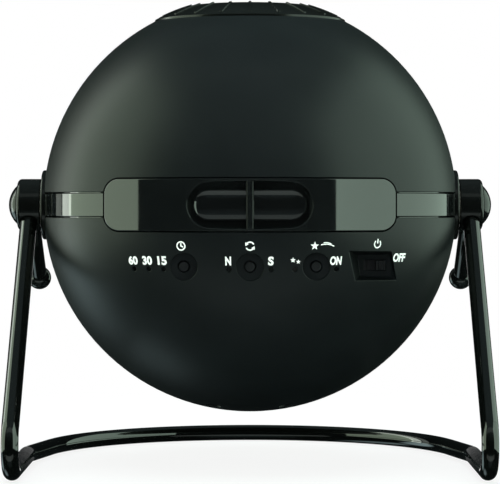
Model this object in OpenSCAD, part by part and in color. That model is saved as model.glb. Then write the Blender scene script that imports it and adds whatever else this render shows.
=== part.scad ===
// Ball-shaped home star projector on a bent-tube stand.
// Millimetres, +Z up, the lens looks up at rest and the controls face -Y.
// The origin is on the floor, under the middle of the ball.

/* [Ball] */
// Diameter of the ball
ball_d = 143.5; // [142:0.1:146]
// Wall of the two ball shells
shell_wall = 2.2; // [1.8:0.1:2.6]
// Height of the gloss band round the equator
band_h = 7.6; // [6:0.1:9]
// Shadow gap above and below the band
band_gap = 0.5; // [0.3:0.05:0.8]
// Height of the tilt axis above the floor
pivot_h = 88.9; // [85:0.1:100]

/* [Side bosses and pivots] */
// Radius of the round boss on each side of the ball
boss_r = 12.06; // [11:0.05:13]
// How far the face of a boss stands proud of the ball
boss_proud = 0.45; // [0.3:0.05:1]
// Radius of the flange behind a boss
boss_flange_r = 15; // [14:0.1:16]
// Radius of the hub on each leg
hub_r = 9; // [8.5:0.1:10]
// Length of the hub along the tilt axis
hub_l = 8.2; // [8:0.1:10]
// Gap between a boss and its hub
hub_gap = 0.4; // [0.4:0.05:0.8]
// Rounding of the hub's outer edge
hub_edge = 1.5; // [0.5:0.1:2]
// Radius of the pivot screw's shank
pivot_r = 2.5; // [2:0.1:3]
// Radius of the pivot screw's domed head
pivot_head_r = 6.8; // [5:0.1:7.5]
// Height of the pivot screw's domed head
pivot_head_h = 3.05; // [2.2:0.05:4]
// Width of the coin slot across the head
coin_slot_w = 2; // [1:0.1:2.5]
// Depth of the coin slot
coin_slot_d = 1.3; // [0.5:0.1:1.8]
// Wall of the threaded insert behind each pivot screw
insert_wall = 1.6; // [1.2:0.1:2.5]
// Length of the threaded insert
insert_l = 11; // [8:0.1:13]
// Thickness of the friction washer
washer_t = 0.8; // [0.7:0.05:1]

/* [Stand] */
// Radius of the stand's tube
tube_r = 2.85; // [2.5:0.05:3]
// Depth of the floor loop, front to back
stand_depth = 151; // [146:0.5:165]
// Radius of the round back of the floor loop
loop_r = 73; // [70:0.1:73.5]
// Half of the angle that the round back spans
loop_half_angle = 77; // [74:0.1:80]
// Radius of the bend where the loop meets the side runs
side_bend_r = 25; // [15:0.5:30]
// Radius of the bend at each front foot
foot_bend_r = 9; // [7:0.1:12]
// Radius of the short rear arms
arm_r = 2.75; // [2.4:0.05:2.85]
// Reach of a rear arm behind the tilt axis
arm_back = 38.9; // [30:0.1:45]
// Drop of a rear arm's ball below the tilt axis
arm_drop = 26.5; // [20:0.1:32]
// Radius of the ball on a rear arm's end
arm_ball_r = 4.25; // [3.8:0.05:4.4]

/* [Focus ring] */
// Radius of the focus ring where it meets the ball
ring_r = 33.1; // [32.5:0.1:35]
// Radius of the opening in the focus ring
ring_hole_r = 21.3; // [21:0.1:22.5]
// How far the focus ring stands proud of the ball
ring_proud = 0.45; // [0.3:0.05:0.8]
// Number of ribs on the focus ring
rib_count = 20; // [12:1:24]
// Width of one rib
rib_w = 0.9; // [0.6:0.05:1.4]
// Height of one rib
rib_h = 0.35; // [0.2:0.05:0.5]
// Width of the plain rim outside the ribs
rib_rim = 1.5; // [1:0.1:3]
// Depth of the lens recess, from the top of the ring to the barrel
lens_recess = 9; // [8.5:0.1:12]

/* [Drawer plate] */
// Width of the drawer plate
plate_w = 95.3; // [92:0.1:97]
// Height of the drawer plate
plate_h = 16.9; // [16.5:0.1:18]
// Corner radius of the drawer plate
plate_corner = 5; // [3:0.1:7]
// Thickness of the drawer plate
plate_t = 2.8; // [2.4:0.1:3.2]
// Gap round the drawer plate
plate_gap = 0.35; // [0.3:0.01:0.5]
// Width of the finger recess
recess_w = 40.3; // [36:0.1:42]
// Height of the finger recess at its mouth
recess_h = 15.3; // [14.5:0.1:15.4]
// Height of the recess's floor
recess_floor_h = 6.6; // [5:0.1:8]
// Depth of the finger recess
recess_d = 9.5; // [8:0.1:10]
// Radius between the recess's walls and its floor
recess_fillet = 3; // [1.5:0.1:3.4]
// Width of the grip bar that stands in the recess
grip_w = 2.15; // [1.8:0.05:3]

/* [Buttons and lights] */
// Radius of the dish round each button
dish_r = 4.5; // [4.2:0.1:4.8]
// Spacing of the three buttons
button_pitch = 21.35; // [20.8:0.05:21.8]
// Drop of the buttons below the equator
button_drop = 19.9; // [19.6:0.1:20.3]
// Radius of a button
button_r = 1.6; // [1.3:0.05:1.7]
// Gap round a button
button_gap = 0.35; // [0.3:0.01:0.4]
// Travel of a button
button_travel = 0.8; // [0.5:0.05:0.9]
// Wall left round the dishes and the switch pocket
local_wall = 1.8; // [1.5:0.1:2]
// Radius of the small light openings
light_r = 0.87; // [0.7:0.01:1]
// Drop of the lights below the equator
light_drop = 20.8; // [20.4:0.1:21.2]

/* [Switch] */
// Drop of the switch knob below the equator
switch_drop = 19.85; // [19.5:0.05:20.2]
// Width of the switch knob
knob_w = 3.2; // [2.8:0.1:3.4]
// Height of the switch knob
knob_h = 3; // [2.6:0.1:3.1]
// Travel of the switch knob
knob_travel = 3.5; // [3:0.1:3.6]
// Gap round the switch knob in its slot
knob_gap = 0.25; // [0.2:0.01:0.3]

/* [Disc drive] */
// Radius of the star disc
disc_r = 27; // [25:0.1:28]
// Thickness of the star disc
disc_t = 1.2; // [1:0.1:1.5]
// Tooth module of the disc drive
gear_module = 0.8; // [0.79:0.01:0.82]
// Teeth on the turntable
ring_teeth = 75; // [73:1:77]
// Teeth on the pinion
pinion_teeth = 15; // [14:1:16]
// Play between meshing teeth
gear_play = 0.3; // [0.2:0.01:0.4]
// Height of the turntable's toothed ring
gear_h = 3.5; // [3:0.1:4]
// Width of the tray behind the plate
tray_w = 72; // [70:0.1:73]
// Thickness of the tray
tray_t = 2.5; // [2:0.1:2.8]
// How far the tray slides out
tray_travel = 100; // [96:1:100]
// Running gap between sliding and turning parts
run_gap = 0.3; // [0.25:0.01:0.35]

/* [Light and lenses] */
// Outer radius of the condenser's holder
condenser_r = 16; // [15:0.1:16.4]
// Outer radius of the lens barrel
barrel_r = 19.9; // [19:0.1:20.4]
// Wall of the lens barrel
barrel_wall = 2.2; // [1.8:0.1:2.4]
// Travel of the lens barrel to each side of rest
focus_travel = 1.5; // [0.5:0.1:2]
// Radius of the drive motor
motor_r = 7.7; // [7:0.1:8.5]
// Length of the drive motor
motor_l = 20; // [16:0.1:24]

/* [Power socket and screws] */
// Radius of the plug well at the back
inlet_r = 5; // [4.5:0.1:5.5]
// Drop of the plug well below the equator
inlet_drop = 30; // [27:0.1:32]
// Radius of the plug's own bore
plug_r = 2.85; // [2.6:0.05:3]
// Spacing of the housing screws across the ball
screw_dx = 24.8; // [23.5:0.1:26]
// Spacing of the housing screws along Y
screw_dy = 32.6; // [32:0.1:34]
// Radius of the housing screws' recesses
screw_well_r = 2.6; // [2.5:0.05:3]

/* [Hidden] */
$fn = 96;
SIDES = [-1, 1];

ball_r = ball_d / 2;
inner_r = ball_r - shell_wall;
seam_z = band_h / 2 + band_gap;
deep = 2 * ball_d;

// Round the tilt axis, measured from the ball's middle
boss_face = ball_r + boss_proud;
boss_edge = 0.76;
boss_back = sqrt(inner_r * inner_r - boss_flange_r * boss_flange_r) - run_gap;
boss_flange_t = 3.4;
boss_stem_r = pivot_r + insert_wall + 4;
boss_stem_l = insert_l + 2;
hub_in = boss_face + hub_gap;
hub_out = hub_in + hub_l;
head_in = hub_out + 0.15;
pivot_fit = 0.1;
insert_r = pivot_r + insert_wall;
washer_r = 7;
washer_fit = 0.2;
leg_x = hub_in + hub_l / 2;
socket_fit = 0.08;
socket_floor = 4.4;

// Bent tube
run_swell = 0.03;
run_lap = 0.3;
rear_y = stand_depth / 2 - tube_r;
foot_y = foot_bend_r - rear_y;
foot_z = tube_r + foot_bend_r;
foot_span = norm([foot_y, pivot_h - foot_z]);
leg_lean = atan2(-foot_y, pivot_h - foot_z) + asin(foot_bend_r / foot_span);
leg_l = sqrt(foot_span * foot_span - foot_bend_r * foot_bend_r) - socket_floor - run_lap;
side_turn = 90 - loop_half_angle;
loop_end_x = loop_r * sin(loop_half_angle);
loop_end_y = rear_y - loop_r + loop_r * cos(loop_half_angle);
side_bend_x = side_bend_r * (1 - cos(side_turn));
flare_l = (leg_x - side_bend_x - loop_end_x) / sin(side_turn);
side_end_y = loop_end_y - flare_l * cos(side_turn) - side_bend_r * sin(side_turn);
side_l = side_end_y - foot_y;
arm_l = norm([arm_back, arm_drop]) - socket_floor;
arm_dip = atan2(arm_drop, arm_back);

// Crown
crown_r = ring_r + 0.3;
dome_r = ball_r + ring_proud;
dome_t = 2.2;
ring_top = sqrt(dome_r * dome_r - ring_hole_r * ring_hole_r);
barrel_top = ring_top - lens_recess - focus_travel;
ring_wall_bottom = ring_top - lens_recess;
mount_flange_r = 36.4;
mount_top = sqrt(inner_r * inner_r - mount_flange_r * mount_flange_r) - 0.1;
mount_flange_t = 2.6;
collar_r = 29.6;
collar_h = 3;
skirt_r = collar_r + run_gap;
skirt_t = 2;
neck_r = barrel_r + run_gap;
neck_wall = 2;
neck_bottom = 22;
barrel_bottom = 13;
barrel_bore = barrel_r - barrel_wall;
front_seat = barrel_top - 10.2;
rear_seat = 24.6;
rear_bore = barrel_bore - 2.3;
front_lens_face_r = 45;
front_lens_t = 9;
rear_lens_face_r = 40;
rear_lens_t = 8;

// Drawer plate and its window
window_w = plate_w + 2 * plate_gap;
window_h = plate_h + 2 * plate_gap;
window_depth = 30;
cup_wall = (plate_h - recess_h) / 2 - 0.1;
cup_floor = 1.3;
cup_back = -ball_r + recess_d + cup_floor;

// Disc drive, heights measured from the tilt axis
ring_pitch_r = gear_module * ring_teeth / 2;
pinion_pitch_r = gear_module * pinion_teeth / 2;
pinion_y = ring_pitch_r + pinion_pitch_r + 0.1;
tray_bottom = -plate_h / 2 + 0.55;
tray_top = tray_bottom + tray_t;
gear_z = tray_top + run_gap;
hole_r = 24.9;
shaft_r = 1;
shaft_slot_r = 1.6;
rail_t = 2;
rail_lip = 2.2;
rail_front = -52;
rail_back = 50;
tray_hold = 6;
tray_back = rail_front + tray_travel + tray_hold;
deck_t = 2;
deck_top = -13;
deck_r = ball_r - 10.75;
leg_r = 3.4;
screw_seat_z = -ball_r + 6.75;
leg_foot = screw_seat_z + 7;
screw_head_h = 1.8;
screw_slot_w = 0.7;
screw_slot_l = 3;
screw_l = 16;

tray_screw_x = 28;
tray_screw_r = 1;
tray_screw_grip = 3.2;
tray_boss_y = -sqrt(ball_r * ball_r - tray_screw_x * tray_screw_x) + plate_t / 2;
tray_lug_w = 7;
tray_lug_t = 2.2;
disc_window_r = 23;
shaft_depth = 9;

// Light source
led_board_z = -44;
led_board_t = 1.6;
heat_sink_r = 15.5;
heat_sink_base = 3;
heat_sink_h = 12;
fin_count = 7;
fin_t = 1.2;
condenser_wall = 1.7;
condenser_seat = -29.55;
condenser_face_r = 35;
condenser_t = 8;
holder_flange_r = 18.2;
holder_flange_t = 1.5;

// Controls
dish_floor_side = front_y([button_pitch, -button_drop]) + 2.75;
dish_floor_mid = front_y([0, -button_drop]) + 2.03;
button_x = [-button_pitch, 0, button_pitch];
dish_floor = [dish_floor_side, dish_floor_mid, dish_floor_side];
button_proud = 0.8;
button_flange_r = 2.9;
button_flange_t = 1;
button_hole_r = button_r + button_gap;
board_setback = 12.2;
board_y = dish_floor_side + board_setback;
board_t = 1.6;
board_x0 = -35;
board_x1 = 28;
board_z0 = -28;
board_z1 = -15.2;
tact_w = 6;
tact_t = 3.5;
stem_entry = 0.3;
tact_bore_d = stem_entry + button_travel + 1.5;
light_x = [-37.7, -32.9, -28, -6.8, 6.75, 14.4, 27.95];
light_fit = 0.05;
board_post_r = 2.5;
board_post_x = [-31, 10.7];
board_post_z = -25.5;

// Switch pocket: the corners of its mouth on the ball and of its floor, as X, Z pairs
pocket_mouth = [[32, -15], [46.2, -15.3], [48.15, -24.75], [34.2, -24.65]];
pocket_floor = [[35.3, -16.4], [46.1, -16.4], [46.6, -23.4], [36.2, -23.4]];
pocket_middle = [41, -20];
mouth_lap = 0.05;
pocket_floor_y = front_y(pocket_mouth[2]) + 1.1;
knob_x = 42.95;
knob_proud = 2.2;
slider_w = 8.6;
slider_t = 1.2;
switch_y = pocket_floor_y + local_wall;
switch_body_d = 6.5;
deck_room = 1.5;
deck_front = switch_y + local_wall + switch_body_d + deck_room;
post_r = 1.3;
post_dz = 4.9;

// Power socket, clear of the drive motor
jack_barrel_r = 4;
jack_d = 9;
jack_w = 9.2;
jack_room = 1.2;
inlet_floor = pinion_y + motor_r + jack_room + jack_d;

// ---- Placing helpers ----

// Children are drawn round the middle of the ball.
module at_pivot() {
    translate([0, 0, pivot_h]) children();
}

// Children's +Z points outwards along the tilt axis on one side, from the middle of the ball.
module outwards(side) {
    at_pivot() rotate([0, side * 90, 0]) children();
}

// Children's +Z points backwards, along +Y.
module backwards() {
    rotate([-90, 0, 0]) children();
}

// ---- Shape helpers ----

// A disc whose upper edge is rounded.
module rounded_disc(r, h, edge) {
    rotate_extrude() {
        square([r - edge, h]);
        square([r, h - edge]);
        translate([r - edge, h - edge]) intersection() {
            circle(r = edge);
            square(edge);
        }
    }
}

// A ring of rectangular section.
module ring(r_out, r_in, h) {
    difference() {
        cylinder(r = r_out, h = h);
        translate([0, 0, -1]) cylinder(r = r_in, h = h + 2);
    }
}

// Part of a ball, cut by two level planes.
module ball_slice(r, z0, z1) {
    intersection() {
        sphere(r = r);
        translate([-deep / 2, -deep / 2, z0]) cube([deep, deep, z1 - z0]);
    }
}

// A biconvex lens of edge radius r, whose faces have radius face_r.
module biconvex(r, face_r, thickness) {
    intersection() {
        translate([0, 0, thickness / 2 - face_r]) sphere(r = face_r);
        translate([0, 0, face_r - thickness / 2]) sphere(r = face_r);
        cylinder(r = r, h = thickness, center = true);
    }
}

// A rectangle with round corners, for a prism along Y.
module rounded_rectangle(w, h, corner) {
    square([w - 2 * corner, h], center = true);
    square([w, h - 2 * corner], center = true);
    for (x = SIDES, y = SIDES) {
        translate([x * (w / 2 - corner), y * (h / 2 - corner)]) circle(r = corner);
    }
}

// A straight run of tube along +Z. Children go on from its end. Bending draws a tube thinner by a
// hair, so a run is the fuller one, and it laps over the bends at its ends.
module run(r, length) {
    translate([0, 0, -run_lap]) cylinder(r = r + run_swell, h = length + 2 * run_lap);
    translate([0, 0, length]) children();
}

// A bend from +Z towards +X. Children go on from its end.
module bend(r, bend_r, angle) {
    translate([bend_r, 0, 0]) rotate([90, 0, 0]) rotate([0, 0, 180 - angle]) {
        rotate_extrude(angle = angle) translate([bend_r, 0]) circle(r = r);
    }
    translate([bend_r * (1 - cos(angle)), 0, bend_r * sin(angle)]) rotate([0, angle, 0]) children();
}

// Involute gear teeth.
function involute(a) = tan(a) * 180 / PI - a;
function half_tooth(r, pitch_r, teeth) =
    90 / teeth - gear_play / pitch_r * 90 / PI / 2 + involute(20)
    - involute(acos(min(1, pitch_r * cos(20) / r)));
function tooth_flank(pitch_r, teeth, side) = [
    for (k = [0:3])
        let (root_r = pitch_r - 1.05 * gear_module)
        let (tip_r = pitch_r + 0.8 * gear_module)
        let (r = root_r + (side < 0 ? k : 3 - k) * (tip_r - root_r) / 3)
        [r, side * half_tooth(r, pitch_r, teeth)]
];
function gear_outline(pitch_r, teeth) = [
    for (t = [0:teeth - 1])
        for (p = concat(tooth_flank(pitch_r, teeth, -1), tooth_flank(pitch_r, teeth, 1)))
            p[0] * [cos(t * 360 / teeth + p[1]), sin(t * 360 / teeth + p[1])]
];

// ---- Stand ----

// One side of the stand: flare, side run, foot bend and leg, from the end of the round back.
module side_of_stand() {
    run(tube_r, flare_l) {
        bend(tube_r, side_bend_r, side_turn) {
            run(tube_r, side_l) {
                rotate([0, 0, -90]) bend(tube_r, foot_bend_r, 90 + leg_lean) {
                    run(tube_r, leg_l);
                }
            }
        }
    }
}

module stand_tube() {
    color("#17191a") {
        translate([0, rear_y - loop_r, tube_r]) rotate([0, 0, 90 - loop_half_angle]) {
            rotate_extrude(angle = 2 * loop_half_angle) translate([loop_r, 0]) circle(r = tube_r);
        }
        for (side = SIDES) {
            mirror([side < 0 ? 1 : 0, 0, 0]) translate([loop_end_x, loop_end_y, tube_r]) {
                rotate([0, 0, -loop_half_angle]) rotate([-90, 0, 0]) rotate([0, 90, 0]) side_of_stand();
            }
        }
    }
}

module hub(side) {
    color("#16181a") difference() {
        outwards(side) translate([0, 0, hub_in]) rounded_disc(hub_r, hub_l, hub_edge);
        outwards(side) cylinder(r = pivot_r + pivot_fit, h = deep);
        outwards(side) cylinder(r = washer_r + washer_fit, h = hub_in + washer_t - washer_fit);
        translate([side * leg_x, 0, pivot_h]) {
            rotate([180 - leg_lean, 0, 0]) translate([0, 0, socket_floor]) {
                cylinder(r = tube_r + socket_fit, h = hub_r);
            }
            rotate([-90 - arm_dip, 0, 0]) translate([0, 0, socket_floor]) {
                cylinder(r = arm_r + socket_fit, h = hub_r);
            }
        }
    }
}

module hub_left() { hub(-1); }
module hub_right() { hub(1); }

// Children start at a rear arm's inner end, with +Z along the arm.
module along_arm(side) {
    translate([side * leg_x, 0, pivot_h]) rotate([-90 - arm_dip, 0, 0]) {
        translate([0, 0, socket_floor]) children();
    }
}

module rear_arm(side) {
    color("#17191a") along_arm(side) cylinder(r = arm_r, h = arm_l - 1);
}

module rear_arm_left() { rear_arm(-1); }
module rear_arm_right() { rear_arm(1); }

module arm_ball(side) {
    color("#17191a") along_arm(side) difference() {
        translate([0, 0, arm_l]) sphere(r = arm_ball_r);
        cylinder(r = arm_r + socket_fit, h = arm_l - 1);
    }
}

module arm_ball_left() { arm_ball(-1); }
module arm_ball_right() { arm_ball(1); }

module friction_washer(side) {
    color("#c9c5ba") outwards(side) translate([0, 0, hub_in - washer_fit]) {
        ring(washer_r, pivot_r + 0.4, washer_t);
    }
}

module friction_washer_left() { friction_washer(-1); }
module friction_washer_right() { friction_washer(1); }

// ---- Ball ----

// The window in the front of the ball that the drawer plate fills.
module drawer_window() {
    translate([0, -ball_r - 1, 0]) backwards() linear_extrude(window_depth) {
        rounded_rectangle(window_w, window_h, plate_corner + plate_gap);
    }
}

// The round openings for the side bosses.
module boss_openings() {
    for (side = SIDES) {
        rotate([0, side * 90, 0]) cylinder(r = boss_r + run_gap, h = deep);
    }
}

module upper_shell() {
    color("#15181a") at_pivot() difference() {
        ball_slice(ball_r, seam_z, ball_d);
        sphere(r = inner_r);
        cylinder(r = crown_r, h = deep);
        drawer_window();
        boss_openings();
    }
}

// The ball's front surface over a point of the XZ plane.
function front_y(p) = -sqrt(ball_r * ball_r - p[0] * p[0] - p[1] * p[1]);

// A corner of the pocket, moved outwards by a wall.
function widened(p, wall) = [
    p[0] + wall * sign(p[0] - pocket_middle[0]),
    p[1] + wall * sign(p[1] - pocket_middle[1])
];

// The pocket round the switch, widened by a wall: it flares from its floor to its mouth on the
// ball, and goes straight on from there.
module pocket(wall) {
    corners = [for (p = pocket_mouth) widened(p, wall)];
    points = concat(
        [for (p = pocket_floor) let (q = widened(p, wall)) [q[0], pocket_floor_y + wall, q[1]]],
        [for (i = [0:3]) [corners[i][0], front_y(pocket_mouth[i]) - mouth_lap, corners[i][1]]],
        [for (q = corners) [q[0], -ball_r, q[1]]]
    );
    hull() polyhedron(points = points, faces = [[0, 1, 2, 3], [4, 5, 6, 7], [11, 10, 9, 8]]);
}

// Children are placed at each housing screw.
module at_screws() {
    for (x = SIDES, y = SIDES) {
        translate([x * screw_dx / 2, y * screw_dy / 2, 0]) children();
    }
}

// Children's +Z points outwards at each small light.
module at_lights() {
    for (x = light_x) {
        rotate([0, 0, asin(x / sqrt(ball_r * ball_r - light_drop * light_drop))]) {
            rotate([90 + asin(light_drop / ball_r), 0, 0]) children();
        }
    }
}

// What the lower shell carries on its inside: walls of the dishes and of the pocket, and posts.
module lower_shell_inside() {
    for (i = [0:2]) {
        translate([button_x[i], -ball_r, -button_drop]) backwards() {
            cylinder(r = dish_r + local_wall, h = dish_floor[i] + local_wall + ball_r);
        }
    }
    pocket(local_wall);
    for (dz = [-post_dz, post_dz]) {
        translate([knob_x - knob_travel / 2, switch_y - 1, -switch_drop + dz]) backwards() {
            cylinder(r = post_r, h = 1 + local_wall);
        }
    }
    for (x = board_post_x) {
        translate([x, -ball_r, board_post_z]) backwards() cylinder(r = board_post_r, h = ball_r + board_y);
    }
    translate([0, 0, -ball_r]) at_screws() cylinder(r = leg_r, h = ball_r + leg_foot);
    translate([0, inlet_floor - local_wall, -inlet_drop]) backwards() {
        cylinder(r = inlet_r + local_wall, h = ball_r);
    }
}

module lower_shell() {
    color("#15181a") at_pivot() difference() {
        intersection() {
            union() {
                difference() {
                    ball_slice(ball_r, -ball_d, -seam_z);
                    sphere(r = inner_r);
                }
                lower_shell_inside();
            }
            ball_slice(ball_r, -ball_d, -seam_z);
        }
        drawer_window();
        boss_openings();
        for (i = [0:2]) {
            translate([button_x[i], dish_floor[i], -button_drop]) {
                rotate([90, 0, 0]) cylinder(r = dish_r, h = ball_r);
                translate([0, ball_r / 2, 0]) rotate([90, 0, 0]) cylinder(r = button_hole_r, h = ball_r);
            }
        }
        at_lights() translate([0, 0, inner_r - 6]) cylinder(r = light_r, h = ball_r);
        pocket(0);
        translate([knob_x - knob_travel / 2, pocket_floor_y + 1, -switch_drop]) {
            cube([knob_w + knob_travel + 2 * knob_gap, 6, knob_h + 2 * knob_gap], center = true);
        }
        at_screws() {
            translate([0, 0, -ball_r]) cylinder(r = screw_well_r, h = ball_r + screw_seat_z);
            translate([0, 0, -ball_r]) cylinder(r = 1.4, h = ball_r);
        }
        translate([0, inlet_floor, -inlet_drop]) {
            backwards() cylinder(r = inlet_r, h = ball_r);
            translate([0, -ball_r / 2, 0]) backwards() cylinder(r = jack_barrel_r + 0.05, h = ball_r);
        }
    }
}

module equator_band() {
    backing_r = sqrt(inner_r * inner_r - pow(band_h / 2 + 2.7, 2)) - run_gap;
    color("#101213") at_pivot() difference() {
        union() {
            translate([0, 0, -band_h / 2]) cylinder(r = ball_r, h = band_h);
            translate([0, 0, -band_h / 2 - 2.7]) cylinder(r = backing_r, h = band_h + 5.4);
        }
        cylinder(r = backing_r - 2, h = deep, center = true);
        drawer_window();
        boss_openings();
        rotate([0, 90, 0]) cylinder(r = boss_flange_r + run_gap, h = 2 * boss_back + 0.6, center = true);
    }
}

module boss(side) {
    flange_in = boss_back - boss_flange_t;
    color("#15181a") outwards(side) difference() {
        union() {
            translate([0, 0, flange_in]) cylinder(r = boss_flange_r, h = boss_flange_t);
            translate([0, 0, boss_back]) rounded_disc(boss_r, boss_face - boss_back, boss_edge);
            translate([0, 0, boss_face - boss_stem_l]) cylinder(r = boss_stem_r, h = boss_stem_l - 1);
        }
        translate([0, 0, boss_face - insert_l]) cylinder(r = insert_r, h = deep);
        cylinder(r = pivot_r + pivot_fit, h = deep);
    }
}

module boss_left() { boss(-1); }
module boss_right() { boss(1); }

module insert(side) {
    color("#b8923f") outwards(side) translate([0, 0, boss_face - insert_l]) {
        ring(insert_r, pivot_r, insert_l);
    }
}

module insert_left() { insert(-1); }
module insert_right() { insert(1); }

module pivot_screw(side) {
    cap_r = (pivot_head_r * pivot_head_r + pivot_head_h * pivot_head_h) / (2 * pivot_head_h);
    color("#1b1d1e") outwards(side) difference() {
        union() {
            translate([0, 0, boss_face - insert_l + 1]) {
                cylinder(r = pivot_r, h = head_in - boss_face + insert_l);
            }
            intersection() {
                translate([0, 0, head_in + pivot_head_h - cap_r]) sphere(r = cap_r);
                translate([0, 0, head_in]) cylinder(r = pivot_head_r, h = pivot_head_h + 1);
            }
        }
        translate([-pivot_head_r - 1, -coin_slot_w / 2, head_in + pivot_head_h - coin_slot_d]) {
            cube([2 * pivot_head_r + 2, coin_slot_w, coin_slot_d + 1]);
        }
    }
}

module pivot_screw_left() { pivot_screw(-1); }
module pivot_screw_right() { pivot_screw(1); }

module housing_screws() {
    color("#8f9498") at_pivot() at_screws() translate([0, 0, screw_seat_z]) {
        difference() {
            translate([0, 0, -screw_head_h]) cylinder(r = screw_well_r - 0.2, h = screw_head_h);
            for (turn = [0, 90]) {
                translate([0, 0, -screw_head_h - 1]) rotate([0, 0, turn]) {
                    cube([screw_slot_w, screw_slot_l, 2 * screw_head_h], center = true);
                }
            }
        }
        cylinder(r = 1.2, h = screw_l);
    }
}

// ---- Chassis and drawer ----

// One rail: a wall with a ledge under the tray and a lip over it.
module rail_section() {
    wall_x = tray_w / 2 + run_gap;
    translate([wall_x, tray_bottom - run_gap - 1.2]) {
        square([rail_t, tray_t + 2 * run_gap + 2.4]);
    }
    translate([wall_x - 4.2, tray_bottom - run_gap - 1.2]) square([4.2 + rail_t, 1.2]);
    translate([wall_x - rail_lip, tray_top + run_gap]) square([rail_lip + rail_t, 1.2]);
}

module chassis() {
    wall_x = tray_w / 2 + run_gap;
    color("#3a3d40") at_pivot() difference() {
        union() {
            intersection() {
                translate([0, 0, deck_top - deck_t]) cylinder(r = deck_r, h = deck_t);
                translate([-deep / 2, deck_front, -deep / 2]) cube(deep);
            }
            for (side = SIDES) {
                mirror([side < 0 ? 1 : 0, 0, 0]) {
                    translate([0, rail_back, 0]) rotate([90, 0, 0]) {
                        linear_extrude(rail_back - rail_front) rail_section();
                    }
                    translate([wall_x, deck_front, deck_top - deck_t]) {
                        cube([rail_t, 2 * abs(deck_front), tray_bottom - run_gap - deck_top + deck_t]);
                    }
                }
            }
            at_screws() translate([0, 0, leg_foot]) cylinder(r = leg_r, h = deck_top - leg_foot);
        }
        cylinder(r = condenser_r + 0.05, h = deep, center = true);
        translate([0, pinion_y, -deep / 2]) cylinder(r = shaft_r + 1.5, h = deep);
        at_screws() translate([0, 0, leg_foot - 1]) cylinder(r = 1.25, h = screw_l - 4);
    }
}

// Half of the finger recess's section, as distance from the middle line and depth: the mouth, the
// sloping wall, the fillet and the floor.
recess_slope = atan2((recess_h - recess_floor_h) / 2, recess_d);
function recess_half() =
    let (mouth = recess_h / 2)
    let (lead = 4)
    let (reach = recess_fillet / tan((90 + recess_slope) / 2))
    let (centre = [recess_floor_h / 2 - reach, recess_d - recess_fillet])
    concat(
        [[mouth + lead * tan(recess_slope), -lead]],
        [for (k = [0:8])
            let (a = recess_slope + k * (90 - recess_slope) / 8)
            centre + recess_fillet * [cos(a), sin(a)]]
    );

// The recess is straight across the middle and turns at both ends. Its ends are as far apart as
// the mouth is wide where the plate curves away.
module finger_recess() {
    half = recess_half();
    count = len(half);
    end_depth = ball_r - sqrt(ball_r * ball_r - recess_w * recess_w / 4);
    end_x = recess_w / 2 - recess_h / 2 + end_depth * tan(recess_slope);
    across = concat(
        [for (p = half) [p[1], p[0]]],
        [for (k = [1:count]) [half[count - k][1], -half[count - k][0]]]
    );
    translate([0, -ball_r, 0]) {
        translate([-end_x, 0, 0]) rotate([90, 0, 90]) linear_extrude(2 * end_x) polygon(across);
        for (side = SIDES) {
            translate([side * end_x, 0, 0]) backwards() rotate([0, 0, side < 0 ? 90 : -90]) {
                rotate_extrude(angle = 180) polygon(concat([[0, half[0][1]]], half, [[0, recess_d]]));
            }
        }
    }
}

module tray_front() {
    cup_h = plate_h - 0.2;
    color("#0e1011") at_pivot() {
        difference() {
            union() {
                intersection() {
                    difference() {
                        cylinder(r = ball_r, h = plate_h, center = true);
                        cylinder(r = ball_r - plate_t, h = deep, center = true);
                    }
                    translate([0, -ball_r - 1, 0]) backwards() linear_extrude(window_depth) {
                        rounded_rectangle(plate_w, plate_h, plate_corner);
                    }
                }
                intersection() {
                    translate([0, -ball_r, 0]) backwards() linear_extrude(ball_r + cup_back) {
                        rounded_rectangle(recess_w + 2 * cup_wall, cup_h, cup_h / 2 - 0.01);
                    }
                    cylinder(r = ball_r - plate_t / 2, h = plate_h, center = true);
                }
                for (x = SIDES) {
                    translate([x * tray_screw_x, tray_boss_y, 0]) backwards() {
                        cylinder(r = tray_screw_r + 1.6, h = cup_back - tray_boss_y);
                    }
                }
            }
            finger_recess();
            for (x = SIDES) {
                translate([x * tray_screw_x, cup_back - tray_screw_grip, 0]) backwards() {
                    cylinder(r = tray_screw_r + 0.05, h = tray_screw_grip + 1);
                }
            }
        }
        translate([-grip_w / 2, -ball_r + 0.3, -recess_h / 2 - 0.3]) {
            cube([grip_w, recess_d, recess_h + 0.6]);
        }
    }
}

module tray_carriage() {
    color("#3a3d40") at_pivot() difference() {
        union() {
            translate([0, 0, tray_bottom]) intersection() {
                translate([-tray_w / 2, cup_back, 0]) cube([tray_w, tray_back - cup_back, tray_t]);
                cylinder(r = ball_r - plate_t - 0.2, h = tray_t);
            }
            for (x = SIDES) {
                translate([x * tray_screw_x - tray_lug_w / 2, cup_back, tray_bottom]) {
                    cube([tray_lug_w, tray_lug_t, tray_screw_r + 2.5 - tray_bottom]);
                }
            }
        }
        cylinder(r = hole_r, h = deep, center = true);
        translate([0, pinion_y, 0]) cylinder(r = shaft_slot_r, h = deep, center = true);
        translate([-shaft_slot_r, pinion_y, -deep / 2]) cube([2 * shaft_slot_r, deep, deep]);
        for (x = SIDES) {
            translate([x * tray_screw_x, cup_back - 1, 0]) backwards() {
                cylinder(r = tray_screw_r + 0.1, h = tray_lug_t + 2);
            }
        }
    }
}

module tray_screws() {
    color("#8f9498") at_pivot() for (x = SIDES) {
        translate([x * tray_screw_x, cup_back + tray_lug_t, 0]) {
            difference() {
                backwards() cylinder(r = 2 * tray_screw_r, h = 1.4);
                translate([0, 1.4, 0]) cube([0.6, 1.2, 5], center = true);
                translate([0, 1.4, 0]) cube([5, 1.2, 0.6], center = true);
            }
            rotate([90, 0, 0]) cylinder(r = tray_screw_r, h = tray_lug_t + tray_screw_grip - 0.2);
        }
    }
}

// ---- Disc and its drive ----

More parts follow.
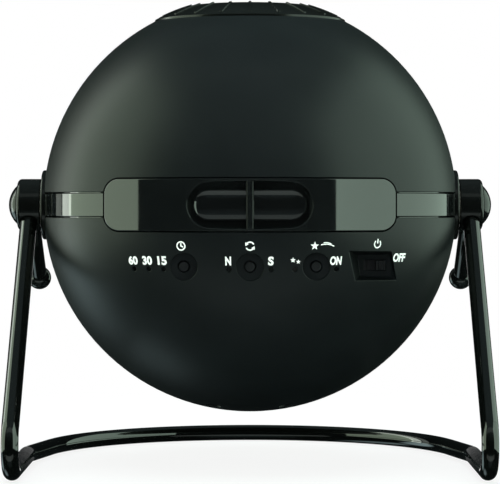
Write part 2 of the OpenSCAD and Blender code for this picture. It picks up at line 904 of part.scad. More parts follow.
module turntable() {
    color("#cfd2d0") at_pivot() difference() {
        union() {
            translate([0, 0, gear_z]) linear_extrude(gear_h) {
                rotate([0, 0, 90]) polygon(gear_outline(ring_pitch_r, ring_teeth));
            }
            translate([0, 0, tray_bottom + 0.5]) {
                cylinder(r = hole_r - run_gap, h = gear_z - tray_bottom);
            }
        }
        cylinder(r = disc_window_r, h = deep, center = true);
        translate([0, 0, gear_z + gear_h - disc_t]) cylinder(r = disc_r + 0.1, h = disc_t + 1);
    }
}

module star_disc() {
    color("#1c2340") at_pivot() translate([0, 0, gear_z + gear_h - disc_t]) difference() {
        cylinder(r = disc_r, h = disc_t);
        translate([0, 0, disc_t - 0.4]) ring(disc_r - 1.5, disc_r - 3, 1);
    }
}

module drive_motor() {
    color("#a9acae") at_pivot() translate([0, pinion_y, deck_top - deck_t]) difference() {
        union() {
            translate([0, 0, -motor_l]) rounded_disc(motor_r, motor_l, 1);
            cylinder(r = shaft_r + 1.4, h = deck_t);
            translate([0, 0, -motor_l - 2]) cylinder(r = 2.2, h = 2.5);
        }
        translate([0, 0, -shaft_depth]) cylinder(r = shaft_r + pivot_fit, h = deep);
    }
}

module drive_pinion() {
    shaft_bottom = deck_top - deck_t - shaft_depth + 0.5;
    color("#e4e2da") at_pivot() translate([0, pinion_y, 0]) {
        translate([0, 0, gear_z]) linear_extrude(gear_h) {
            rotate([0, 0, -90 + 180 / pinion_teeth]) polygon(gear_outline(pinion_pitch_r, pinion_teeth));
        }
        translate([0, 0, shaft_bottom]) cylinder(r = shaft_r, h = gear_z + 1 - shaft_bottom);
    }
}

// ---- Light source ----

module heat_sink() {
    base_z = led_board_z - led_board_t - heat_sink_base;
    pitch = 2 * heat_sink_r / fin_count;
    color("#b4b8ba") at_pivot() {
        translate([0, 0, base_z]) cylinder(r = heat_sink_r, h = heat_sink_base);
        intersection() {
            translate([0, 0, base_z + heat_sink_base - heat_sink_h]) {
                cylinder(r = heat_sink_r, h = heat_sink_h - heat_sink_base / 2);
            }
            for (k = [0:fin_count - 1]) {
                translate([(k - (fin_count - 1) / 2) * pitch, 0, base_z]) {
                    cube([fin_t, 2 * heat_sink_r, 4 * heat_sink_h], center = true);
                }
            }
        }
    }
}

module lamp_board() {
    color("#d8dcda") at_pivot() translate([0, 0, led_board_z - led_board_t]) difference() {
        cylinder(r = condenser_r - 0.6, h = led_board_t);
        for (x = SIDES) {
            translate([x * (condenser_r - 0.6), 0, -1]) cylinder(r = 1.6, h = led_board_t + 2);
        }
    }
}

module lamp_led() {
    color("#f2e6a0") at_pivot() translate([0, 0, led_board_z]) {
        cylinder(r = 3.5, h = 1.5);
        translate([0, 0, 1]) cylinder(r = 2.5, h = 1.5);
        translate([0, 0, 2.5]) ball_slice(2.5, 0, 3);
    }
}

module condenser_holder() {
    bore = condenser_r - condenser_wall;
    color("#26292b") at_pivot() difference() {
        union() {
            translate([0, 0, led_board_z]) cylinder(r = condenser_r, h = deck_top - led_board_z);
            translate([0, 0, deck_top]) cylinder(r = holder_flange_r, h = holder_flange_t);
        }
        translate([0, 0, condenser_seat]) cylinder(r = bore, h = deep);
        translate([0, 0, led_board_z - 1]) cylinder(r = bore - 1.3, h = deep);
    }
}

module condenser_lens() {
    bore = condenser_r - condenser_wall;
    color("#cfe3ea") at_pivot() translate([0, 0, condenser_seat + 1.55]) {
        biconvex(bore - 0.1, condenser_face_r, condenser_t);
    }
}

module meteor_lamp() {
    color("#26292b") at_pivot() rotate([0, 0, -60]) translate([holder_flange_r + 3.4, 0, deck_top]) {
        difference() {
            cylinder(r = 2.8, h = 4.6);
            translate([0, 0, 2.6]) cylinder(r = 1.8, h = 3);
        }
        translate([0, 0, 2]) cylinder(r = 1.5, h = 1.4);
    }
}

// ---- Focus ring and lenses ----

module focus_mount() {
    color("#3a3d40") at_pivot() {
        translate([0, 0, mount_top - mount_flange_t]) ring(mount_flange_r, neck_r, mount_flange_t);
        translate([0, 0, mount_top - 1]) ring(collar_r, collar_r - 2, collar_h + 1);
        translate([0, 0, neck_bottom]) ring(neck_r + neck_wall, neck_r, mount_top - neck_bottom - 1);
    }
}

module focus_ring() {
    rib_out = ring_r - rib_rim;
    color("#17191a") at_pivot() difference() {
        union() {
            difference() {
                union() {
                    intersection() {
                        sphere(r = dome_r);
                        cylinder(r = ring_r, h = deep);
                    }
                    intersection() {
                        sphere(r = dome_r + rib_h);
                        for (k = [0:rib_count - 1]) {
                            rotate([0, 0, -90 + k * 360 / rib_count]) {
                                translate([ring_hole_r - 1, -rib_w / 2, ring_top - 8]) {
                                    cube([rib_out - ring_hole_r + 1, rib_w, deep]);
                                }
                            }
                        }
                    }
                }
                sphere(r = dome_r - dome_t);
            }
            intersection() {
                sphere(r = dome_r - dome_t / 2);
                translate([0, 0, ring_wall_bottom]) cylinder(r = ring_hole_r + 1.8, h = deep);
            }
            intersection() {
                sphere(r = dome_r - dome_t / 2);
                translate([0, 0, mount_top + run_gap]) ring(skirt_r + skirt_t, skirt_r, deep);
            }
        }
        cylinder(r = ring_hole_r, h = deep);
    }
}

module lens_barrel() {
    color("#1d1f21") at_pivot() difference() {
        translate([0, 0, barrel_bottom]) cylinder(r = barrel_r, h = barrel_top - barrel_bottom);
        translate([0, 0, front_seat]) cylinder(r = barrel_bore, h = deep);
        translate([0, 0, barrel_bottom - 1]) cylinder(r = rear_bore, h = rear_seat - barrel_bottom + 1);
        cylinder(r = rear_bore - 1.5, h = deep);
        translate([0, 0, rear_seat + 1.5]) {
            cylinder(r = barrel_bore - 1.6, h = front_seat - rear_seat - 1.5 + 0.5);
        }
    }
}

module front_lens() {
    color("#a9c6dc") at_pivot() translate([0, 0, front_seat + 1.75]) {
        biconvex(barrel_bore - 0.1, front_lens_face_r, front_lens_t);
    }
}

module rear_lens() {
    color("#a9c6dc") at_pivot() translate([0, 0, rear_seat - 1.65]) biconvex(rear_bore - 0.1, rear_lens_face_r, rear_lens_t);
}

module lens_retainers() {
    color("#2a2d2f") at_pivot() {
        translate([0, 0, front_seat + 3.4]) ring(barrel_bore - 0.05, barrel_bore - 1.7, 2);
        translate([0, 0, rear_seat - 5.3]) ring(rear_bore - 0.05, rear_bore - 1.6, 2);
    }
}

// ---- Controls ----

module control_board() {
    color("#1f5a36") at_pivot() translate([board_x0, board_y, board_z0]) {
        cube([board_x1 - board_x0, board_t, board_z1 - board_z0]);
    }
}

module tact_switches() {
    color("#2b2d2f") at_pivot() for (x = button_x) {
        translate([x, board_y, -button_drop]) rotate([90, 0, 0]) difference() {
            translate([-tact_w / 2, -tact_w / 2, 0]) cube([tact_w, tact_w, tact_t]);
            translate([0, 0, tact_t - tact_bore_d]) cylinder(r = button_r + 0.3, h = tact_t);
        }
    }
}

module indicator_lights() {
    color("#e9ecea") at_pivot() at_lights() translate([0, 0, inner_r - 3]) {
        cylinder(r = light_r - light_fit, h = shell_wall + 3 - 0.4);
    }
}

// A button: its face stands in a dish, a flange keeps it in, and its stem reaches the switch.
module button(i) {
    face_y = dish_floor[i] - button_proud;
    stem_end = board_y - tact_t + stem_entry;
    color("#1b1e20") at_pivot() translate([button_x[i], stem_end, -button_drop]) rotate([90, 0, 0]) {
        rounded_disc(button_r, stem_end - face_y, 0.3);
        translate([0, 0, stem_end - dish_floor[i] - local_wall - run_gap - button_flange_t]) {
            cylinder(r = button_flange_r, h = button_flange_t);
        }
    }
}

module timer_button() { button(0); }
module motion_button() { button(1); }
module meteor_button() { button(2); }

module power_knob() {
    slider_y = switch_y + run_gap;
    color("#1d2022") at_pivot() translate([knob_x, 0, -switch_drop]) {
        difference() {
            translate([-knob_w / 2, pocket_floor_y - knob_proud, -knob_h / 2]) {
                cube([knob_w, slider_y - pocket_floor_y + knob_proud + 0.5, knob_h]);
            }
            for (k = [-1:1]) {
                translate([k * knob_w / 4, pocket_floor_y - knob_proud, 0]) {
                    cube([0.4, 0.8, knob_h + 1], center = true);
                }
            }
        }
        translate([-slider_w / 2, slider_y, -knob_h / 2 - 1.2]) {
            cube([slider_w, slider_t, knob_h + 2.4]);
        }
    }
}

module power_switch() {
    plate_h2 = 2 * (post_dz + post_r);
    color("#2b2d2f") at_pivot() {
        translate([knob_x - knob_travel / 2, switch_y + local_wall, -switch_drop]) {
            translate([-6, 0, -plate_h2 / 2]) cube([12, 1.6, plate_h2]);
            translate([-4, 1, -3]) cube([8, switch_body_d - 1, 6]);
        }
    }
}

module dc_jack() {
    color("#202224") at_pivot() translate([0, inlet_floor, -inlet_drop]) rotate([90, 0, 0]) {
        difference() {
            union() {
                cylinder(r = jack_barrel_r, h = jack_d - 1);
                translate([-jack_w / 2, -jack_w / 2, local_wall]) cube([jack_w, jack_w, jack_d - local_wall]);
            }
            translate([0, 0, -1]) cylinder(r = plug_r, h = jack_d);
        }
        translate([0, 0, 0.5]) cylinder(r = 1, h = jack_d - 1);
    }
}

stand_tube();
hub_left();
hub_right();
rear_arm_left();
rear_arm_right();
arm_ball_left();
arm_ball_right();
friction_washer_left();
friction_washer_right();
upper_shell();
lower_shell();
equator_band();
boss_left();
boss_right();
insert_left();
insert_right();
pivot_screw_left();
pivot_screw_right();
housing_screws();
chassis();
tray_front();
tray_carriage();
tray_screws();
turntable();
star_disc();
drive_motor();
drive_pinion();
heat_sink();
lamp_board();
lamp_led();
condenser_holder();
condenser_lens();
meteor_lamp();
focus_mount();
focus_ring();
lens_barrel();
front_lens();
rear_lens();
lens_retainers();
control_board();
tact_switches();
indicator_lights();
timer_button();
motion_button();
meteor_button();
power_knob();
power_switch();
dc_jack();
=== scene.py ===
"""The looks of a ball-shaped home star projector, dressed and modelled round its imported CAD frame.

Metres, +Z up. The origin is on the floor under the middle of the ball, the lens looks up at rest
and the controls face -Y, towards the camera.
"""

import logging
import math
from contextlib import contextmanager
from dataclasses import dataclass
from enum import Enum
from typing import Callable, Iterator, Sequence

import bpy
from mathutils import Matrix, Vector


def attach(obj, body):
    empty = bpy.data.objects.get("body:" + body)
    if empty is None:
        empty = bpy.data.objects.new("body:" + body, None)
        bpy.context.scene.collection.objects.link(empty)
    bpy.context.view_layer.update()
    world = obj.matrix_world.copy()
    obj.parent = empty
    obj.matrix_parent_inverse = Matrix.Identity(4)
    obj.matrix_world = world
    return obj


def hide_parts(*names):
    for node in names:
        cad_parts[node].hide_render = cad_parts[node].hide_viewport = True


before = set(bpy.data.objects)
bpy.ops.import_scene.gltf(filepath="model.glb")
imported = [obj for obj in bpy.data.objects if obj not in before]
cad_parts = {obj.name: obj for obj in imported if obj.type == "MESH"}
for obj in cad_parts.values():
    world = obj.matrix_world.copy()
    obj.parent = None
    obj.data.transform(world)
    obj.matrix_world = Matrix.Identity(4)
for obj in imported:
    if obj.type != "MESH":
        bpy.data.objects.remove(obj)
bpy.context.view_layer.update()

log = logging.getLogger("star_projector")

MM = 0.001
# The ball's radius and the height of its tilt axis, in millimetres
BALL_RADIUS = 71.75
PIVOT_HEIGHT = 88.9
PIVOT = Vector((0.0, 0.0, PIVOT_HEIGHT * MM))
SENSOR_WIDTH = 36.0

# A noise keeps mostly to the middle of its range, and this part of it is spread over a finish
NOISE_MIDDLE = {"From Min": 0.3, "From Max": 0.7}


def direction(turn: float, lift: float) -> Vector:
    """Point away from the ball's middle.

    Args:
        turn: Angle round from the camera's side in radians, a quarter turn being to the right.
        lift: Angle up in radians.

    Returns:
        The unit vector.
    """
    return Vector((math.sin(turn) * math.cos(lift), -math.cos(turn) * math.cos(lift), math.sin(lift)))


# ---------------------------------------------------------------- materials


def linear(hex_colour: str) -> tuple[float, float, float, float]:
    """Turn an sRGB hex colour into Blender's linear RGBA.

    Args:
        hex_colour: Six hex digits, such as "1A1D1E".

    Returns:
        Red, green, blue and an alpha of 1, all linear.
    """

    def channel(value: float) -> float:
        """Undo the sRGB curve for one channel."""
        return value / 12.92 if value <= 0.04045 else ((value + 0.055) / 1.055) ** 2.4

    red, green, blue = (int(hex_colour[i : i + 2], 16) / 255 for i in (0, 2, 4))
    return channel(red), channel(green), channel(blue), 1.0


def add_node(
    tree: bpy.types.NodeTree,
    kind: str,
    settings: dict[str | int, object] | None = None,
    links: dict[str | int, bpy.types.NodeSocket] | None = None,
) -> bpy.types.Node:
    """Add one shader node with its settings and its incoming links.

    Args:
        tree: The node tree to add to.
        kind: The node's type name, without "ShaderNode".
        settings: Input sockets, by name or number, or properties of the node, by name.
        links: Output sockets that feed the node's inputs, by the input's name or number.

    Returns:
        The new node.
    """
    node = tree.nodes.new(f"ShaderNode{kind}")
    for name, value in (settings or {}).items():
        if isinstance(name, int) or name in node.inputs:
            node.inputs[name].default_value = value
        else:
            setattr(node, name, value)
    for name, socket in (links or {}).items():
        tree.links.new(socket, node.inputs[name])
    return node


def object_noise(
    tree: bpy.types.NodeTree, size: float, stretch: Vector = Vector((1, 1, 1))
) -> bpy.types.NodeSocket:
    """Add a noise whose grain has a real size and stays with the object.

    Args:
        tree: The node tree to add to.
        size: Size of one grain in metres.
        stretch: How much finer the grain is along each axis.

    Returns:
        The noise's value, about 0.5 on average.
    """
    place = add_node(tree, "TexCoord").outputs["Object"]
    scaled = add_node(tree, "Mapping", {"Scale": stretch / size}, {"Vector": place})
    noise = add_node(tree, "TexNoise", {"Scale": 1.0, "Detail": 2.0, "Roughness": 0.55},
                     {"Vector": scaled.outputs["Vector"]})
    return noise.outputs["Fac"]


@dataclass(frozen=True)
class Finish:
    """A finish with an even colour, mottled a little, and a grain in its surface.

    Each subclass says how the real surface was made. Moulds and rolls leave a grain finer than
    0.1 mm, which would be too fine to show, so it is drawn 0.12 mm wide or more.

    Attributes:
        name: The material's name.
        colour: Its sRGB colour.
        second_colour: The colour of its mottled patches.
        roughness: Its roughness on average.
        spread: How far the roughness goes up and down with the grain.
        mottle: Size of its patches in millimetres.
        grain: Size of its grain in millimetres.
        height: Height of its grain in millimetres.
        stretch: How much finer the grain is along each axis.
        slot: The name of a material slot; it is not used.
    """

    name: str
    colour: str
    second_colour: str
    roughness: float
    spread: float = 0.04
    mottle: float = 9.0
    grain: float = 0.35
    height: float = 0.01
    stretch: tuple[float, float, float] = (1.0, 1.0, 1.0)
    slot: str = ""

    def settings(self) -> dict[str | int, object]:
        """The shader's sockets that are the same all over the surface."""
        return {}

    def material(self) -> bpy.types.Material:
        """Build the material, or give the one that is there already.

        Returns:
            The material, with its pattern on Object coordinates.
        """
        found = bpy.data.materials.get(self.name)
        if found:
            return found
        material = bpy.data.materials.new(self.name)
        material.use_nodes = True
        tree = material.node_tree
        tree.nodes.clear()
        patches = add_node(tree, "MapRange", NOISE_MIDDLE, {"Value": object_noise(tree, self.mottle * MM)})
        colour = add_node(tree, "Mix", {
            "data_type": "RGBA", 6: linear(self.colour), 7: linear(self.second_colour),
        }, {"Factor": patches.outputs["Result"]})
        grain = object_noise(tree, self.grain * MM, Vector(self.stretch))
        rough = add_node(tree, "MapRange", NOISE_MIDDLE | {
            "To Min": self.roughness - self.spread, "To Max": self.roughness + self.spread,
        }, {"Value": grain})
        bump = add_node(tree, "Bump", {"Strength": 0.5, "Distance": self.height * MM}, {"Height": grain})
        shader = add_node(tree, "BsdfPrincipled", self.settings(), {
            "Base Color": colour.outputs[2],
            "Roughness": rough.outputs["Result"],
            "Normal": bump.outputs["Normal"],
        })
        add_node(tree, "OutputMaterial", {}, {"Surface": shader.outputs["BSDF"]})
        return material


@dataclass(frozen=True)
class Plastic(Finish):
    """A moulded plastic, an ink or an enamel. What it was formed against gives its sheen."""

    ior: float = 1.5

    def settings(self) -> dict[str | int, object]:
        """The plastic's own index of refraction."""
        return {"IOR": self.ior}


@dataclass(frozen=True)
class Metal(Finish):
    """A bare metal. Turning or rolling leaves its fine lines."""

    anisotropic: float = 0.3

    def settings(self) -> dict[str | int, object]:
        """Full metal, with highlights drawn out across the lines."""
        return {"Metallic": 1.0, "Anisotropic": self.anisotropic}


@dataclass(frozen=True)
class Clear(Finish):
    """Clear glass that light goes through, with a coating."""

    ior: float = 1.52
    coat: str = "FFFFFF"
    coat_weight: float = 0.0

    def settings(self) -> dict[str | int, object]:
        """Full transmission, and the tint of the lens's coating."""
        return {"Transmission Weight": 1.0, "IOR": self.ior, "Coat Weight": self.coat_weight,
                "Coat Tint": linear(self.coat), "Coat Roughness": 0.02}


# ABS moulded in a spark-eroded mould: a soft sheen that spreads the lights into broad crescents
SHELL_ABS = Plastic("satin_black_abs", "0F1314", "0C1011", roughness=0.4, spread=0.03, mottle=14, grain=0.3,
                    height=0.004, ior=1.42, slot="ball_black")
# ABS from a polished mould: it mirrors the lights with sharp edges
GLOSS_ABS = Plastic("polished_black_abs", "0B0D0D", "0E1010", roughness=0.05, spread=0.015, mottle=11,
                    grain=6, height=0.002, ior=1.78, slot="plate_gloss")
# The same plastic on the hubs and bosses, a little less polished
HUB_ABS = Plastic("gloss_black_abs", "060706", "080908", roughness=0.1, spread=0.03, mottle=6, grain=2.5,
                  height=0.003, slot="hub_black")
# ABS from a finely honed mould, used for the ring on the crown: a deeper black than the shells
RING_ABS = Plastic("deep_black_abs", "0A0C0A", "080A08", roughness=0.22, spread=0.04, mottle=6, grain=0.25,
                   height=0.003, slot="ring_black")
# Gloss stove enamel over bent steel tube: a deep black, with slight orange peel
TUBE_ENAMEL = Plastic("black_stove_enamel", "030403", "050605", roughness=0.04, spread=0.02, mottle=20,
                      grain=1.6, height=0.003, ior=1.75)
# Nylon, moulded: creamy and waxy
WASHER_NYLON = Plastic("natural_nylon", "D5D0C2", "C9C3B2", roughness=0.45, spread=0.05, mottle=5,
                       grain=0.4, height=0.01, ior=1.53)
# Glass-filled ABS inside the ball: dull grey with flow marks
FRAME_ABS = Plastic("grey_glass_filled_abs", "3A3D40", "33363A", roughness=0.5, spread=0.06, mottle=8,
                    grain=0.5, height=0.012)
# Acetal, moulded: white and slippery, with a soft shine
GEAR_ACETAL = Plastic("white_acetal", "E4E2DA", "D9D6CB", roughness=0.32, spread=0.04, mottle=6, grain=0.3,
                      height=0.004, ior=1.48)
# Buttons and knob: the shell's plastic from a finer mould
BUTTON_ABS = Plastic("fine_satin_black_abs", "17191A", "121415", roughness=0.34, spread=0.04, mottle=3,
                     grain=0.15, height=0.003, slot="button_black")
# Phenolic switch bodies: dark and slightly rough
SWITCH_RESIN = Plastic("black_phenolic_resin", "242627", "1C1E1F", roughness=0.5, spread=0.06, mottle=3,
                       grain=0.2, height=0.01, slot="switch_black")
# Fibreglass board under green solder mask: the weave shows as a faint ripple
BOARD_GREEN = Plastic("green_solder_mask", "1F5A36", "184A2C", roughness=0.28, spread=0.05, mottle=2.4,
                      grain=0.5, height=0.01)
# Fibreglass board under white solder mask: even and dull
BOARD_WHITE = Plastic("white_solder_mask", "DDE0DC", "D0D4D0", roughness=0.35, spread=0.05, mottle=3,
                      grain=0.5, height=0.01)
# Silicone phosphor over the lamp's chip: yellow and waxy
LED_PHOSPHOR = Plastic("yellow_phosphor", "EFE08A", "E2CF6B", roughness=0.4, spread=0.05, mottle=2,
                       grain=0.2, height=0.004)
# Turned brass of the two inserts: fine lines round the bore
INSERT_BRASS = Metal("turned_brass", "C7A15A", "B48C47", roughness=0.28, spread=0.06, mottle=4, grain=0.12,
                     height=0.003)
# Zinc-plated steel of the screws: a cool, slightly cloudy shine
SCREW_STEEL = Metal("zinc_plated_steel", "A9ADB0", "969A9E", roughness=0.3, spread=0.06, mottle=2.5,
                    grain=0.15, height=0.003)
# Rolled steel of the motor's can, with its lines along it
MOTOR_STEEL = Metal("rolled_steel", "A4A7A9", "94979A", roughness=0.32, spread=0.06, mottle=6, grain=0.12,
                    height=0.003, stretch=(1, 1, 0.1))
# Extruded aluminium of the heat sink, clear anodised
SINK_ALUMINIUM = Metal("anodised_aluminium", "B8BCBE", "A8ACAF", roughness=0.38, spread=0.05, mottle=6,
                       grain=0.12, height=0.004, stretch=(1, 1, 0.1))
# Optical glass with a blue-violet anti-reflection coating
LENS_GLASS = Clear("coated_optical_glass", "F2F6F8", "EEF3F6", roughness=0.02, spread=0.01, mottle=8,
                   grain=4, height=0.0005, coat="8FA4FF", coat_weight=0.6)
# Smoked acrylic rods that carry the small lights to the surface
LIGHT_ACRYLIC = Plastic("smoked_acrylic", "030404", "050606", roughness=0.12, spread=0.03, mottle=1.5,
                        grain=0.3, height=0.002, ior=1.49)
# Polyester film disc, printed a very dark blue: smooth, with a clear shine
DISC_FILM = Plastic("printed_polyester_film", "10142A", "161C36", roughness=0.15, spread=0.04, mottle=7,
                    grain=0.6, height=0.002, ior=1.6)
# Steel heads of the two pivot screws, nickelled black and enamelled: they shine like the hubs
PIVOT_BLACK = Plastic("black_nickel_enamel", "080909", "060707", roughness=0.12, spread=0.04, mottle=4,
                      grain=0.8, height=0.003, slot="pivot_black")
# White ink, printed with a soft pad: thin and almost matt
WHITE_INK = Plastic("white_print_ink", "F1F4F0", "E6EAE5", roughness=0.4, spread=0.05, mottle=2, grain=0.12,
                    height=0.002)

NODE_FINISH: dict[str, Finish] = {
    "stand_tube": TUBE_ENAMEL,
    "hub_left": HUB_ABS,
    "hub_right": HUB_ABS,
    "rear_arm_left": TUBE_ENAMEL,
    "rear_arm_right": TUBE_ENAMEL,
    "arm_ball_left": GLOSS_ABS,
    "arm_ball_right": GLOSS_ABS,
    "friction_washer_left": WASHER_NYLON,
    "friction_washer_right": WASHER_NYLON,
    "upper_shell": SHELL_ABS,
    "lower_shell": SHELL_ABS,
    "equator_band": GLOSS_ABS,
    "boss_left": HUB_ABS,
    "boss_right": HUB_ABS,
    "insert_left": INSERT_BRASS,
    "insert_right": INSERT_BRASS,
    "pivot_screw_left": PIVOT_BLACK,
    "pivot_screw_right": PIVOT_BLACK,
    "housing_screws": SCREW_STEEL,
    "chassis": FRAME_ABS,
    "tray_front": GLOSS_ABS,
    "tray_carriage": FRAME_ABS,
    "tray_screws": SCREW_STEEL,
    "turntable": GEAR_ACETAL,
    "star_disc": DISC_FILM,
    "drive_motor": MOTOR_STEEL,
    "drive_pinion": GEAR_ACETAL,
    "heat_sink": SINK_ALUMINIUM,
    "lamp_board": BOARD_WHITE,
    "lamp_led": LED_PHOSPHOR,
    "condenser_holder": FRAME_ABS,
    "condenser_lens": LENS_GLASS,
    "meteor_lamp": SWITCH_RESIN,
    "focus_mount": FRAME_ABS,
    "focus_ring": RING_ABS,
    "lens_barrel": RING_ABS,
    "front_lens": LENS_GLASS,
    "rear_lens": LENS_GLASS,
    "lens_retainers": RING_ABS,
    "control_board": BOARD_GREEN,
    "tact_switches": SWITCH_RESIN,
    "indicator_lights": LIGHT_ACRYLIC,
    "timer_button": BUTTON_ABS,
    "motion_button": BUTTON_ABS,
    "meteor_button": BUTTON_ABS,
    "power_knob": BUTTON_ABS,
    "power_switch": SWITCH_RESIN,
    "dc_jack": SWITCH_RESIN,
}


def dress_nodes() -> None:
    """Give every CAD node its real finish."""
    for name, finish in NODE_FINISH.items():
        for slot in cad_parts[name].material_slots:
            slot.material = finish.material()
        log.info("dressed %s in %s", name, finish.name)


# ---------------------------------------------------------------- modelling


# Corners of a CAD node that lie this near to each other, in millimetres, are the same corner
SAME_POINT = 0.002
# Faces of a CAD node that turn by less than this many degrees are one flat face
FLAT_BEND = 0.05


class Combining(Enum):
    """How one piece changes another."""

    CUT = "DIFFERENCE"
    ADD = "UNION"


def pick(piece: bpy.types.Object) -> None:
    """Select one piece alone, and make it the active one.

    Args:
        piece: The piece.
    """
    bpy.ops.object.select_all(action="DESELECT")
    piece.select_set(True)
    bpy.context.view_layer.objects.active = piece


def new_piece(add: Callable[..., set[str]], **settings: object) -> bpy.types.Object:
    """Start a piece from a primitive or a text, with everything else deselected first.

    Args:
        add: The operator that adds it.
        settings: The operator's settings.

    Returns:
        The new piece, selected and active.
    """
    bpy.ops.object.select_all(action="DESELECT")
    add(**settings)
    return bpy.context.object


@contextmanager
def editing(piece: bpy.types.Object) -> Iterator[bpy.types.Mesh]:
    """Open one piece alone in edit mode, with all of it selected.

    Args:
        piece: The mesh piece to edit.

    Returns:
        The piece's mesh, while the block runs.
    """
    pick(piece)
    bpy.ops.object.mode_set(mode="EDIT")
    bpy.ops.mesh.select_all(action="SELECT")
    yield piece.data
    bpy.ops.object.mode_set(mode="OBJECT")


def select_points(mesh: bpy.types.Mesh, chosen: Callable[[bpy.types.MeshVertex], bool]) -> None:
    """Select points of the mesh that is being edited, by their place or number.

    Args:
        mesh: The mesh, in edit mode.
        chosen: The test that a point has to pass.
    """
    bpy.ops.mesh.select_all(action="DESELECT")
    bpy.ops.object.mode_set(mode="OBJECT")
    for point in mesh.vertices:
        point.select = chosen(point)
    bpy.ops.object.mode_set(mode="EDIT")


def modify(piece: bpy.types.Object, kind: str, **settings: object) -> None:
    """Add one modifier to a piece and apply it.

    Args:
        piece: The mesh piece.
        kind: The modifier's type.
        settings: The modifier's properties.
    """
    pick(piece)
    modifier = piece.modifiers.new(kind.lower(), kind)
    for name, value in settings.items():
        setattr(modifier, name, value)
    bpy.ops.object.modifier_apply(modifier=modifier.name)


def smooth(piece: bpy.types.Object, angle: float = 32.0) -> None:
    """Shade a piece smooth, except at its sharper edges.

    Args:
        piece: The mesh piece.
        angle: Edges sharper than this many degrees stay crisp.
    """
    pick(piece)
    bpy.ops.object.shade_smooth_by_angle(angle=math.radians(angle))


def join(pieces: Sequence[bpy.types.Object]) -> bpy.types.Object:
    """Join several pieces into the first one.

    Args:
        pieces: The pieces.

    Returns:
        The first of them, which holds all of them.
    """
    pick(pieces[0])
    for piece in pieces:
        piece.select_set(True)
    bpy.ops.object.join()
    return pieces[0]


def finished(piece: bpy.types.Object, name: str, finish: Finish, body: str, node: str | None = None) -> None:
    """Name a piece, bring its place into its mesh, dress it and let it ride.

    Args:
        piece: The piece.
        name: Its name.
        finish: Its surface.
        body: The CAD body that carries it.
        node: The CAD node that it stands for, if there is one.
    """
    pick(piece)
    bpy.ops.object.transform_apply(location=True, rotation=True, scale=True)
    piece.name = name
    piece.data.name = name
    piece.data.materials.clear()
    piece.data.materials.append(finish.material())
    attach(piece, body)
    if node:
        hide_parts(node)
    log.info("made %s: %d faces, on %s", name, len(piece.data.polygons), body)


def one_skin(node: str) -> bpy.types.Object:
    """Copy a CAD node, and join its loose triangles into one skin with flat faces kept whole.

    Args:
        node: The CAD node's name.

    Returns:
        The copy.
    """
    pick(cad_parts[node])
    bpy.ops.object.duplicate()
    piece = bpy.context.object
    with editing(piece):
        bpy.ops.mesh.customdata_custom_splitnormals_clear()
        bpy.ops.mesh.remove_doubles(threshold=SAME_POINT * MM)
        bpy.ops.mesh.dissolve_limited(angle_limit=math.radians(FLAT_BEND))
    return piece


def rounded(piece: bpy.types.Object, edge: float, steps: int = 3, angle: float = 35.0) -> bpy.types.Object:
    """Round a piece's edges as its mould or press does, and shade it smooth between them.

    Args:
        piece: The piece.
        edge: Width of the rounded edge in millimetres.
        steps: Facets across that edge.
        angle: Edges sharper than this many degrees are rounded.

    Returns:
        The same piece.
    """
    modify(piece, "BEVEL", width=edge * MM, segments=steps, limit_method="ANGLE",
           angle_limit=math.radians(angle), use_clamp_overlap=False, loop_slide=False,
           miter_outer="MITER_ARC")
    smooth(piece)
    modify(piece, "WEIGHTED_NORMAL", mode="FACE_AREA", keep_sharp=True)
    return piece


def lathed(name: str, profile: Sequence[tuple[float, float]], steps: int) -> bpy.types.Object:
    """Turn a closed solid on a lathe: a single point, drawn out along a profile and spun.

    Args:
        name: The piece's name.
        profile: Distance from the axis and place along it, in millimetres, from end to end.
        steps: Facets round the axis, which is Y.

    Returns:
        The solid, with its axis along Y.
    """
    piece = new_piece(bpy.ops.mesh.primitive_plane_add, size=MM)
    piece.name = name
    with editing(piece):
        bpy.ops.mesh.merge(type="CENTER")
        bpy.ops.transform.translate(value=(profile[0][0] * MM, profile[0][1] * MM, 0))
        for (r0, y0), (r1, y1) in zip(profile, profile[1:]):
            bpy.ops.mesh.extrude_region_move(
                TRANSFORM_OT_translate={"value": ((r1 - r0) * MM, (y1 - y0) * MM, 0)})
        bpy.ops.mesh.select_all(action="SELECT")
        bpy.ops.mesh.spin(steps=steps, angle=2 * math.pi, center=(0, 0, 0), axis=(0, 1, 0))
        bpy.ops.mesh.select_all(action="SELECT")
        bpy.ops.mesh.remove_doubles(threshold=0.0005 * MM)
        bpy.ops.mesh.normals_make_consistent(inside=False)
    return piece


def combine(piece: bpy.types.Object, other: bpy.types.Object, how: Combining) -> None:
    """Cut one piece with another, or add the other to it, and remove the other.

    Args:
        piece: The piece that stays.
        other: The piece that goes.
        how: Whether it cuts or adds.
    """
    modify(piece, "BOOLEAN", object=other, operation=how.value, solver="EXACT")
    bpy.data.objects.remove(other, do_unlink=True)


def true_round(piece: bpy.types.Object, radius: float = BALL_RADIUS, upright: bool = False) -> None:
    """Shade the part of a piece that lies on the ball as truly round, without facets.

    Args:
        piece: The piece, already shaded.
        radius: The ball's radius in millimetres.
        upright: True where that face is an upright cylinder and not a ball.
    """
    # How near a corner lies to the ball in millimetres, and how squarely its face looks outwards
    reach = 0.01
    facing = 0.85
    mesh = piece.data
    normals = [corner.vector.copy() for corner in mesh.corner_normals]
    for face in mesh.polygons:
        for loop in face.loop_indices:
            out = mesh.vertices[mesh.loops[loop].vertex_index].co - PIVOT
            out.z *= not upright
            near = abs(out.length / MM - radius) < reach
            if near and face.normal.dot(out.normalized()) > facing:
                normals[loop] = out.normalized()
    mesh.normals_split_custom_set(normals)


# ---------------------------------------------------------------- the projector


class Side(Enum):
    """The two ends of the tilt axis, seen from the front."""

    LEFT = "left"
    RIGHT = "right"


